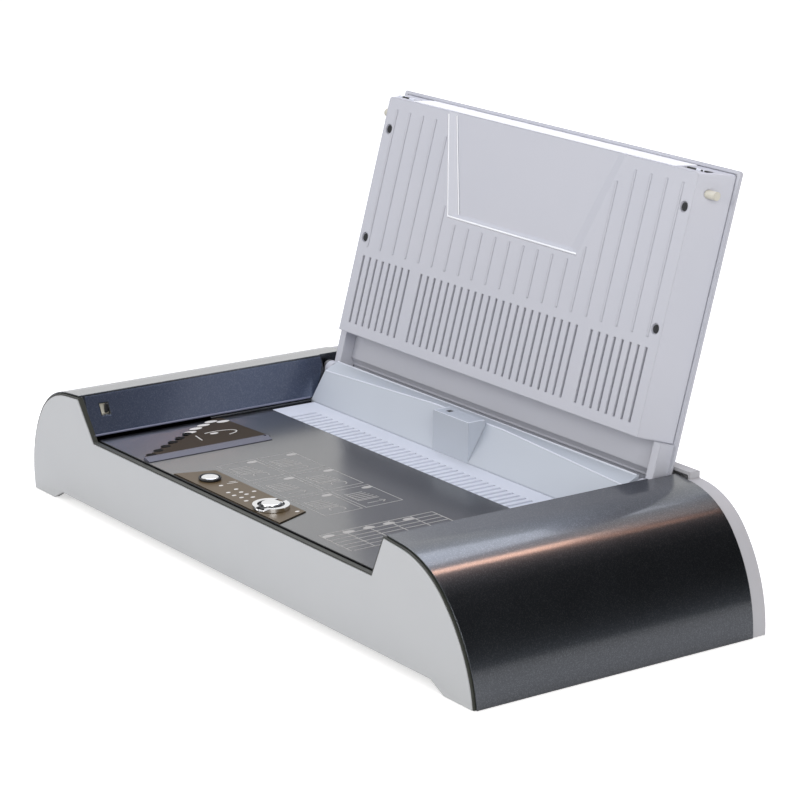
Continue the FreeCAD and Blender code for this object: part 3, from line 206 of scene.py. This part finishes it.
# finishes of pieces that only this scene has, some of them painted highlight and painted shade;
# lines of ink and highlight strips are too thin for a rounded edge
INK_PALE = moulded("pale_screen_ink", "#dcdad6", "#d0ceca", 0.5, 0.3, 0.004, edge_mm=0.01)
INK_SOFT = moulded("grey_screen_ink", "#b0aeab", "#a4a29f", 0.5, 0.3, 0.004, edge_mm=0.01)
# white for the painted highlights on the lid's edges
RIM_HIGHLIGHT = moulded("painted_highlight_white", "#fafbff", "#f4f6fc", 0.4, 0.4, 0.01, edge_mm=0.01)
# pale plastic of the clip catches, and the painted highlight on the throat's edges
PALE_TRIM_AND_HIGHLIGHT = moulded("pale_lilac_abs_and_painted_highlight", "#e2e6f0", "#dadeea", 0.4, 0.4, 0.02)
# slate for the painted highlight along the left wall's foot
FOOT_HIGHLIGHT = moulded("painted_highlight_slate", "#70748a", "#686c82", 0.35, 0.4, 0.02)
# black for the painted shade behind the vents
VENT_SHADE = moulded("painted_shade_black", "#17181a", "#1d1e20", 0.9, 0.8, 0.1)
# black ink, and the painted shade in the gauge's notches
DARK_INK_AND_SHADE = moulded("black_screen_ink_and_painted_shade", "#0a0908", "#100e0c", 0.7, 0.3, 0.004, ior=1.2)
DARK_STEEL = bare_metal("black_oxide_steel", "#3a3b3d", "#2c2d2f", 0.35, 0.4, (1, 1, 1))


# Ways to make a piece. Places and sizes are given to these in millimetres.

INK_THICK = 0.05


def pick(*objects):
    """Selects these objects alone, the last one active."""
    bpy.ops.object.select_all(action="DESELECT")
    for obj in objects:
        obj.select_set(True)
    bpy.context.view_layer.objects.active = objects[-1]


def seat(piece, body, slot, finish, *nodes):
    """Applies a finished piece's place, gives it its finish, and lets it ride on its body."""
    pick(piece)
    bpy.ops.object.transform_apply(location=True, rotation=True, scale=True)
    piece.data.materials.clear()
    piece.data.materials.append(finish)
    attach(piece, body)
    if nodes:
        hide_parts(*nodes)


def merged(name, parts):
    """Joins the parts into one piece."""
    pick(*parts)
    if len(parts) > 1:
        bpy.ops.object.join()
    whole = bpy.context.view_layer.objects.active
    whole.name = name
    return whole


def stretch_mesh(factors):
    """Resizes the active object's mesh about its middle and leaves the object's own scale alone."""
    bpy.ops.object.mode_set(mode="EDIT")
    bpy.ops.mesh.select_all(action="SELECT")
    bpy.ops.transform.resize(value=factors)
    bpy.ops.object.mode_set(mode="OBJECT")


def add_splines(curve, runs):
    """Adds a straight-edged spline for each run of places; one that ends where it starts is closed."""
    for run in runs:
        closed = run[0] == run[-1]
        places = run[:-1] if closed else run
        spline = curve.splines.new("POLY")
        spline.points.add(len(places) - 1)
        for point, place in zip(spline.points, places):
            point.co = [c * MM for c in place] + [1]
        spline.use_cyclic_u = closed


def meshed(curve):
    """Puts a curve in the scene as a mesh."""
    made = bpy.data.objects.new(curve.name, curve)
    bpy.context.collection.objects.link(made)
    pick(made)
    bpy.ops.object.convert(target="MESH")
    return bpy.context.view_layer.objects.active


def printed(name, strokes, patches, level, wide):
    """Lines of this width and filled patches of ink that lie at a level; every place is (x, y)."""
    parts = []
    for kind, runs in (("lines", strokes), ("fills", patches)):
        if not runs:
            continue
        curve = bpy.data.curves.new(name + "_" + kind, "CURVE")
        curve.dimensions = "3D" if kind == "lines" else "2D"
        if kind == "lines":
            curve.bevel_depth = wide / 2 * MM
            curve.bevel_resolution = 0
        else:
            curve.fill_mode = "BOTH"
            curve.extrude = INK_THICK / 2 * MM
        add_splines(curve, [[(x, y, 0) for x, y in run] for run in runs])
        parts.append(meshed(curve))
        if kind == "lines":
            stretch_mesh((1, 1, INK_THICK / wide))
    piece = merged(name, parts)
    piece.location.z = (level + INK_THICK / 2) * MM
    return piece


def wire(name, runs, radius):
    """Round wires along runs of places in space."""
    curve = bpy.data.curves.new(name, "CURVE")
    curve.dimensions = "3D"
    curve.bevel_depth = radius * MM
    curve.bevel_resolution = 1
    add_splines(curve, runs)
    return meshed(curve)


def oval(x, y, reach_x, reach_y, steps=20, start=0.0, sweep=2 * pi):
    """Places on an ellipse, or on a part of it that is left open."""
    turns = [start + sweep * i / steps for i in range(steps)]
    places = [(x + reach_x * cos(turn), y + reach_y * sin(turn)) for turn in turns]
    return places + places[:1] if sweep == 2 * pi else places


def box_line(left, front, right, back):
    """Corners of a rectangle, closed."""
    return [(left, front), (right, front), (right, back), (left, back), (left, front)]


def add_bar(name, low, high, round_mm):
    """Rounded bar between two corners."""
    bpy.ops.object.select_all(action="DESELECT")
    middle = [(a + b) / 2 * MM for a, b in zip(low, high)]
    bpy.ops.mesh.primitive_cube_add(size=1, location=middle)
    bar = bpy.context.object
    bar.name = name
    stretch_mesh([(b - a) * MM for a, b in zip(low, high)])
    bpy.ops.object.mode_set(mode="EDIT")
    bpy.ops.mesh.select_all(action="SELECT")
    bpy.ops.mesh.bevel(offset=round_mm * MM, segments=2)
    bpy.ops.object.mode_set(mode="OBJECT")
    return bar


# Deck print: six step panels and a size table, in plain marks that say nothing.

DECK_TOP = 60.0
DECK_LINE = 1.1
PANEL_WIDE, PANEL_DEEP = 40, 29
SHEETS, SHEET_STEP = 5, 3.2
TABLE_LEFT, TABLE_FRONT, TABLE_BACK = 92, -104, -16
COLUMNS, COLUMN_STEP, LAST_COLUMN_SHORT = 6, 6, 2
ROWS, ROW_STEP = 5, 17.6
TABLE_MARK_STEP = 15.5

deck_lines, deck_fills = [], []
# each panel has an oval badge, a fan of sheets in a corner bracket, and an arrow or an arc
for column, left in enumerate((-69, -24, 21)):
    for row, front in enumerate((-78, -46)):
        right, back = left + PANEL_WIDE, front + PANEL_DEEP
        deck_lines.append(box_line(left, front, right, back))
        deck_fills.append(oval(left + 4.5, back - 3.5, 2.2, 4.2))
        for sheet in range(SHEETS):
            shift = SHEET_STEP * sheet
            deck_lines.append([(left + 11 + shift, front + 4), (left + 11 + shift, front + 17 + shift / 4)])
        deck_lines.append([(left + 9, front + 4), (left + 26, front + 4), (left + 26, front + 20)])
        if (column + row) % 2:
            deck_lines.append([(left + 33, front + 6), (left + 33, front + 20), (left + 30.5, front + 17)])
            deck_lines.append([(left + 33, front + 20), (left + 35.5, front + 17)])
        else:
            deck_lines.append(oval(left + 32, front + 15, 4.5, 5.5, 14, 0.6, 4.6))
for line in range(COLUMNS + 1):
    across = TABLE_LEFT + COLUMN_STEP * line
    front = TABLE_FRONT + LAST_COLUMN_SHORT * (line == COLUMNS)
    deck_lines.append([(across, front), (across, TABLE_BACK)])
for line in range(ROWS + 1):
    deep = TABLE_FRONT + ROW_STEP * line
    deck_lines.append([(TABLE_LEFT, deep), (TABLE_LEFT + COLUMN_STEP * COLUMNS, deep)])
for row in range(ROWS):
    deck_fills.append(oval(TABLE_LEFT + 4, -99.5 + TABLE_MARK_STEP * row, 2.4, 4.4))
deck_print = printed("deck_print", deck_lines, deck_fills, DECK_TOP, DECK_LINE)
seat(deck_print, "chassis", "comb_white", INK_SOFT)


# Control film: dots between the button and the selector, dashes above them, and the film's dark edge.

FILM_TOP = 60.5
CONTROL_Y = -98.2
BUTTON_X, SELECTOR_X = -45.5, 28.5
DOTS = ((-14.2, -103.7), (-6.8, -103.9), (-17.5, -95.5), (-10.3, -96.2), (-0.3, -102.3), (-4.5, -95.7),
        (3.1, -95.7), (7.4, -103.7), (-7.1, -88.1), (44.5, -88.5), (-29.7, -99.5))
DASHES = ([(-31, -94), (-30, -86)], [(-33.5, -91), (-32.5, -86)], [(12, -91), (18, -87)])
FILM_EDGES = ([(58.2, -111.2), (47.5, -84.3)], [(-69, -111.3), (58.2, -111.3)])

dots = [oval(x, y, 1.2, 1.7, 10) for x, y in DOTS]
seat(printed("control_print", DASHES, dots, FILM_TOP, 1.1), "chassis", "print_bronze", INK_PALE)
seat(printed("control_film_edge", FILM_EDGES, [], FILM_TOP, 0.8), "chassis", "print_bronze", DARK_INK_AND_SHADE)


def seat_ring(name, x, inner, outer, low, tall):
    """Round-edged black ring around the button or set into the selector: partly a real black seat, partly
    painted shade for the dark band on the chrome.
    """
    bpy.ops.object.select_all(action="DESELECT")
    bpy.ops.mesh.primitive_torus_add(location=(x * MM, CONTROL_Y * MM, (low + tall / 2) * MM),
                                     major_segments=48, minor_segments=8,
                                     major_radius=(inner + outer) / 2 * MM,
                                     minor_radius=(outer - inner) / 2 * MM)
    made = bpy.context.object
    made.name = name
    stretch_mesh((1, 1, tall / (outer - inner)))
    bpy.ops.object.shade_smooth()
    return made


BLACK = FINISHES["component_black"]
INLAY_LEVEL = 61.55
button_ring_and_shade = seat_ring("power_seat_ring_and_shade", BUTTON_X, 6.5, 7.7, FILM_TOP, 2.2)
seat(button_ring_and_shade, "chassis", "component_black", BLACK)
inlay_and_shade = seat_ring("selector_inlay_and_shade", SELECTOR_X, 6.6, 8.9, INLAY_LEVEL, 0.8)
seat(inlay_and_shade, "selector", "component_black", BLACK)


# Gauge film: a patch on each step, an arc with a dash and a small oval, and black ink at each step as painted
# shade in its notch.

STEP_PATCHES = ((-147.2, -51.0), (-153, -42.5), (-157.5, -33.4), (-162, -24.4), (-158, -16.8))
NOTCH_SHADES = 6
NOTCH_X, NOTCH_Y = -115.8, -101.6
NOTCH_STEP_X, NOTCH_STEP_Y = -5.9, 9.4

gauge_lines = [oval(-134, -36, 6, 15, 12, 0.4, 3.6), [(-138, -52), (-126, -54)]]
gauge_fills = [oval(x, y, 2.4, 5.2, 14) for x, y in STEP_PATCHES] + [oval(-136, -38, 1.6, 3.4, 12)]
seat(printed("gauge_print", gauge_lines, gauge_fills, FILM_TOP, 1.2), "chassis", "print_brown", INK_PALE)
notch_shades = [oval(NOTCH_X + NOTCH_STEP_X * i, NOTCH_Y + NOTCH_STEP_Y * i, 3.0, 3.8, 12) for i in range(NOTCH_SHADES)]
# black marks: painted shade in the gauge's notches
gauge_notch_shades = printed("gauge_notch_shades", [], notch_shades, FILM_TOP + INK_THICK, 0.9)
seat(gauge_notch_shades, "chassis", "print_brown", DARK_INK_AND_SHADE)


# Lid pieces. They are drawn on the closed lid, its inner face down and the hinge axis through the origin,
# and then turned open. Y runs from LID_FOOT, the inner face's end at the hinge, down to the far edge.

HINGE_MM = (0, 91.2, 78.8)
OPEN = radians(104.85)
LID_FOOT, LID_FACE = -31.0, -9.5
EDGE_TILT = radians(9.3)
RECESS_NEAR, RECESS_FAR = LID_FOOT - 101.6, LID_FOOT - 171
WELL_SPANS = ((-162.6, -155.2), (148.4, 156.6), (161.6, 163.2), (165.0, 166.8))
CATCH_SPANS = ((-154.9, -148.5), (157.0, 161.2), (163.5, 164.7), (-167.6, -163.4))
SCREW_X, SCREW_SUNK = 161.4, 0.75
SCREWS_ALONG = (70, 150)
SCREW_RADIUS, SCREW_THICK = 2.9, 0.5
CROSS_LONG, CROSS_WIDE, CROSS_PROUD = 3.8, 0.8, 0.12


def lay_on_lid(piece):
    """Turns a piece drawn on the closed lid, about the hinge axis at the origin, to the open lid."""
    pick(piece)
    bpy.ops.object.transform_apply(location=True, rotation=True, scale=True)
    piece.data.transform(Matrix.Translation(Vector(HINGE_MM) * MM) @ Matrix.Rotation(-OPEN, 4, "X"))
    return piece


# black sheet behind the vents: painted shade in the vent openings
vent_shade_sheet = add_bar("vent_shade", (-162, LID_FOOT - 62, LID_FACE + 3.2), (162, LID_FOOT - 4, LID_FACE + 4.4), 0.3)
seat(lay_on_lid(vent_shade_sheet), "lid", "component_black", VENT_SHADE)

# painted highlights on the edges of the recessed panel: white strips on its rim at the left and at the hinge
# end, and on its floor at the left
rim_highlight_run = [(-96.6, RECESS_FAR), (-72.6, RECESS_NEAR), (70, RECESS_NEAR)]
rim_highlight = printed("recess_rim", [rim_highlight_run], [], LID_FACE - INK_THICK, 1.9)
floor_highlight_run = [(-88.6, RECESS_FAR), (-62.4, RECESS_NEAR - 3)]
floor_highlight = printed("recess_rim_floor", [floor_highlight_run], [], LID_FACE + 1.2, 1.6)
seat(lay_on_lid(merged("recess_highlights", [floor_highlight, rim_highlight])), "lid", "lid_lilac", RIM_HIGHLIGHT)

# painted highlight on the far edge, which leans: a white band; and the clips in it: black bars as painted
# shade in their wells, and pale catches
edge_highlight = add_bar("lid_edge_highlight", (-142.5, -206.55, -7.4), (142.5, -205.95, 11.4), 0.15)
pick(edge_highlight)
bpy.ops.object.origin_set(type="ORIGIN_GEOMETRY")
edge_highlight.rotation_euler.x = EDGE_TILT
seat(lay_on_lid(edge_highlight), "lid", "lid_lilac", RIM_HIGHLIGHT)
well_shades = [add_bar("well_shade", (low, -206.2, -2.7), (high, -204.0, 3.7), 0.3) for low, high in WELL_SPANS]
seat(lay_on_lid(merged("lid_clip_well_shades", well_shades)), "lid", "component_black", BLACK)
catches = [add_bar("catch", (low, -206.3, -2.8), (high, -203.6, 3.8), 0.5) for low, high in CATCH_SPANS]
seat(lay_on_lid(merged("lid_clip_catches", catches)), "lid", "ivory", PALE_TRIM_AND_HIGHLIGHT, "lid_clips")


def screw_head(x, y, level):
    """Flat screw head with a low cross on its lower side, which is the seen one."""
    bpy.ops.object.select_all(action="DESELECT")
    middle = (x * MM, y * MM, (level + SCREW_THICK / 2) * MM)
    bpy.ops.mesh.primitive_cylinder_add(vertices=24, radius=SCREW_RADIUS * MM, depth=SCREW_THICK * MM,
                                        location=middle)
    head = bpy.context.object
    bpy.ops.object.mode_set(mode="EDIT")
    bpy.ops.mesh.select_all(action="SELECT")
    bpy.ops.mesh.bevel(offset=0.15 * MM, segments=1)
    bpy.ops.object.mode_set(mode="OBJECT")
    bars = []
    for long, wide in ((CROSS_LONG, CROSS_WIDE), (CROSS_WIDE, CROSS_LONG)):
        low = (x - long / 2, y - wide / 2, level - CROSS_PROUD)
        high = (x + long / 2, y + wide / 2, level + 0.2)
        bars.append(add_bar("cross", low, high, 0.05))
    return merged("screw", bars + [head])


screws = [screw_head(side * SCREW_X, LID_FOOT - along, LID_FACE + SCREW_SUNK)
          for side in (1, -1) for along in SCREWS_ALONG]
seat(lay_on_lid(merged("lid_cross_screws", screws)), "lid", "steel", DARK_STEEL, "lid_screws")


# Throat: painted highlights, pale wires along its front edge at both sides of the tower, along its back and
# round the tower.

THROAT_FRONT = [(169, 79.4, 81.0), (40, 82.4, 86.0), (21, 82.4, 86.0)]
THROAT_BACK = [(-169, 90.2, 86.2), (169, 90.2, 86.2)]
TOWER_TOP = [(-19.5, 81, 88.3), (-19.5, 67.4, 88.3), (19.5, 67.4, 88.3), (19.5, 81, 88.3)]

highlight_runs = [THROAT_FRONT, [(-x, y, z) for x, y, z in THROAT_FRONT], THROAT_BACK, TOWER_TOP]
seat(wire("throat_painted_highlights", highlight_runs, 0.55), "chassis", "throat_grey", PALE_TRIM_AND_HIGHLIGHT)


# Left cover's inner wall, which leans away from the deck: a pale wire as painted highlight at its foot,
# a lighter, bluer lacquer sheet around the latch slot as painted reflection, a strip that closes the deck's
# side and a black bar as painted shade in the slot.

WALL_X, WALL_Z = -170, 61.8
WALL_TOP_X, WALL_TOP_Z = -185, 88.8
WALL_LEAN = (WALL_X - WALL_TOP_X) / (WALL_TOP_Z - WALL_Z)
# lighter, bluer lacquer: painted reflection on the left cover's inner wall
WALL_REFLECTION = flake_paint("painted_reflection_lacquer_inside", "#5c667c", "#6e788c", 0.34, 0.5, 0.13)
REFLECTION_OUT, REFLECTION_THICK = 0.02, 0.1
REFLECTION_FRONT, REFLECTION_FRONT_LEAN = -116.4, 0.1
REFLECTION_ROWS = ((62.6, 69.6), (73.9, 79.4), (82.3, 84.0), (87.6, 84.4))
SLOT_FRONT, SLOT_BACK = -104.9, -96.7


def wall_point(along, level, out):
    """Place on the left cover's leaning inner wall, or this far in front of it, in metres."""
    return Vector((WALL_X - (level - WALL_Z) * WALL_LEAN + out, along, level)) * MM


# pale wire along the wall's foot: painted highlight
foot_highlight_wire = wire("wall_foot_highlight", [[(-170.1, -115, 62.7), (-170.1, 66, 62.7)]], 0.75)
seat(foot_highlight_wire, "chassis", "cover_graphite", FOOT_HIGHLIGHT)

# four rows of four places, each row given by its level and its rear end, with no painted reflection over the
# slot
spots = []
for level, rear in REFLECTION_ROWS:
    front = REFLECTION_FRONT + REFLECTION_FRONT_LEAN * (level - WALL_Z)
    spots += [wall_point(along, level, REFLECTION_OUT) for along in (front, SLOT_FRONT, SLOT_BACK, rear)]
cells = [(row, column) for row in range(3) for column in range(3) if (row, column) != (1, 1)]
quads = [(row * 4 + column, row * 4 + column + 1, row * 4 + column + 5, row * 4 + column + 4)
         for row, column in cells]
sheet = bpy.data.meshes.new("left_wall_painted_reflection")
sheet.from_pydata(spots, [], quads)
reflection_sheet = bpy.data.objects.new("left_wall_painted_reflection", sheet)
bpy.context.collection.objects.link(reflection_sheet)
pick(reflection_sheet)
skin = reflection_sheet.modifiers.new("skin", "SOLIDIFY")
skin.thickness = REFLECTION_THICK * MM
skin.offset = 0
bpy.ops.object.modifier_apply(modifier="skin")
seat(reflection_sheet, "chassis", "cover_graphite", WALL_REFLECTION)

strip = add_bar("deck_side_strip", (-170.6, -20, 59.2), (-168.4, 66.2, 61.4), 0.3)
seat(strip, "chassis", "deck_smoke", FINISHES["deck_smoke"])
shade = add_bar("latch_slot_shade", (-181.6, -100.0, 74.9), (-179.7, -97.7, 81.3), 0.3)
seat(shade, "chassis", "component_black", BLACK)


# Studio: world, floor, dark cards and lamps, in metres and watts.

AMBIENT = 0.42
FLOOR_SIZE = 12
FLOOR_GLOW_MIRRORED, FLOOR_GLOW_SEEN = 0.15, 0.6
CARD_LIFT = 0.05
CARD_BLACK = (0.004, 0.004, 0.004, 1)
# turned to in degrees, how far away, how wide and how high
DARK_CARDS = ((42, 2.2, 3.4, 2.8), (92, 2.3, 1.5, 2.5), (68, 2.25, 1.1, 3.5))
# name, place, aimed at, size, power and colour
LAMPS = (
    ("ceiling_softbox", (-0.5, 0.45, 1.9), (-0.1, 0, 0.08), (1.6, 1.4), 20.5, "#e9efff"),
    ("shoulder_lamp", (0.3, 0.99, 1.6), (0.23, -0.09, 0.077), (0.14, 0.26), 1.9, "#ffc8ae"),
    ("shoulder_lamp_tail", (0.41, 1.2, 1.56), (0.23, 0.02, 0.077), (0.14, 0.22), 0.28, "#ffbc9c"),
    ("front_softbox", (-0.9, -2.1, 1.1), (0, 0, 0.1), (1.6, 1.2), 21, "#fffdfa"),
    ("right_softbox", (2.2, -0.9, 1.0), (0, 0, 0.15), (1.4, 1.2), 30, "#fffefc"),
)


def light(name, spot, target, size, power, colour):
    """Rectangular lamp turned to its target, which the camera doesn't see."""
    data = bpy.data.lights.new(name, "AREA")
    data.shape = "RECTANGLE"
    data.size, data.size_y = size
    data.energy = power
    data.color = linear(colour)[:3]
    lamp = bpy.data.objects.new(name, data)
    bpy.context.collection.objects.link(lamp)
    lamp.location = spot
    lamp.rotation_mode = "QUATERNION"
    lamp.rotation_quaternion = (Vector(target) - Vector(spot)).to_track_quat("-Z", "Y")
    lamp.visible_camera = False


def either(tree, first, second):
    """1 where one of two kinds of ray arrives, else 0."""
    return add(tree, "Math", {"operation": "MAXIMUM"}, {0: first, 1: second}).outputs[0]


def set_world():
    """White world that the camera and mirrors see in full, and that lights the machine only softly."""
    world = bpy.data.worlds.new("studio")
    bpy.context.scene.world = world
    world.use_nodes = True
    tree = world.node_tree
    path = add(tree, "LightPath", {}, {}).outputs
    seen = either(tree, path["Is Camera Ray"], path["Is Glossy Ray"])
    seen = either(tree, seen, path["Is Transmission Ray"])
    strength = add(tree, "MapRange", {}, {"Value": seen, "To Min": AMBIENT, "To Max": 1.0})
    backing = tree.nodes["Background"]
    backing.inputs["Color"].default_value = (1, 1, 1, 1)
    tree.links.new(strength.outputs["Result"], backing.inputs["Strength"])


def set_floor():
    """White table that keeps the soft shadow and is as white as the background where it is lit."""
    bpy.ops.object.select_all(action="DESELECT")
    bpy.ops.mesh.primitive_plane_add(size=FLOOR_SIZE, location=(0, 0, 0))
    floor = bpy.context.object
    floor.name = "studio_table"
    material = bpy.data.materials.new("white_table")
    material.use_nodes = True
    tree = material.node_tree
    surface = tree.nodes["Principled BSDF"]
    surface.inputs["Base Color"].default_value = linear("#e6e6e6")
    surface.inputs["Roughness"].default_value = 0.8
    surface.inputs["IOR"].default_value = 1.3
    path = add(tree, "LightPath", {}, {}).outputs
    seen = either(tree, path["Is Camera Ray"], path["Is Glossy Ray"])
    shine = add(tree, "MapRange", {}, {"Value": path["Is Camera Ray"],
                                       "To Min": FLOOR_GLOW_MIRRORED, "To Max": FLOOR_GLOW_SEEN})
    glow = add(tree, "Emission", {}, {"Color": (1, 1, 1, 1), "Strength": shine.outputs["Result"]})
    none = add(tree, "Emission", {}, {"Color": (0, 0, 0, 1), "Strength": 0.0})
    lit = add(tree, "MixShader", {}, {0: seen, 1: none.outputs[0], 2: glow.outputs[0]})
    total = add(tree, "AddShader", {}, {0: surface.outputs[0], 1: lit.outputs[0]})
    tree.links.new(total.outputs[0], tree.nodes["Material Output"].inputs["Surface"])
    floor.data.materials.append(material)


def set_dark_card(turn, away, wide, high):
    """Black studio card that stands to the right of the machine or behind it, which only mirrors see."""
    bpy.ops.object.select_all(action="DESELECT")
    bpy.ops.mesh.primitive_plane_add(size=1, location=(0, 0, 0))
    card = bpy.context.object
    card.name = "studio_dark_card"
    stretch_mesh((wide, high, 1))
    card.rotation_euler = (pi / 2, 0, radians(turn) - pi / 2)
    card.location = (away * cos(radians(turn)), away * sin(radians(turn)), high / 2 + CARD_LIFT)
    material = bpy.data.materials.new("black_card")
    material.use_nodes = True
    surface = material.node_tree.nodes["Principled BSDF"]
    surface.inputs["Base Color"].default_value = CARD_BLACK
    surface.inputs["Roughness"].default_value = 1.0
    card.data.materials.append(material)
    card.visible_camera = card.visible_diffuse = card.visible_shadow = False
    card.visible_transmission = False


# Dress the frame's own nodes and light the scene.

for part in frame["record"]["subparts"]:
    NODES[part["node"]].data.materials.clear()
    NODES[part["node"]].data.materials.append(FINISHES[part["material_slot"]])

set_world()
set_floor()
for lamp in LAMPS:
    light(*lamp)
for card in DARK_CARDS:
    set_dark_card(*card)
aim_camera()
bpy.context.scene.view_settings.view_transform = "Standard"
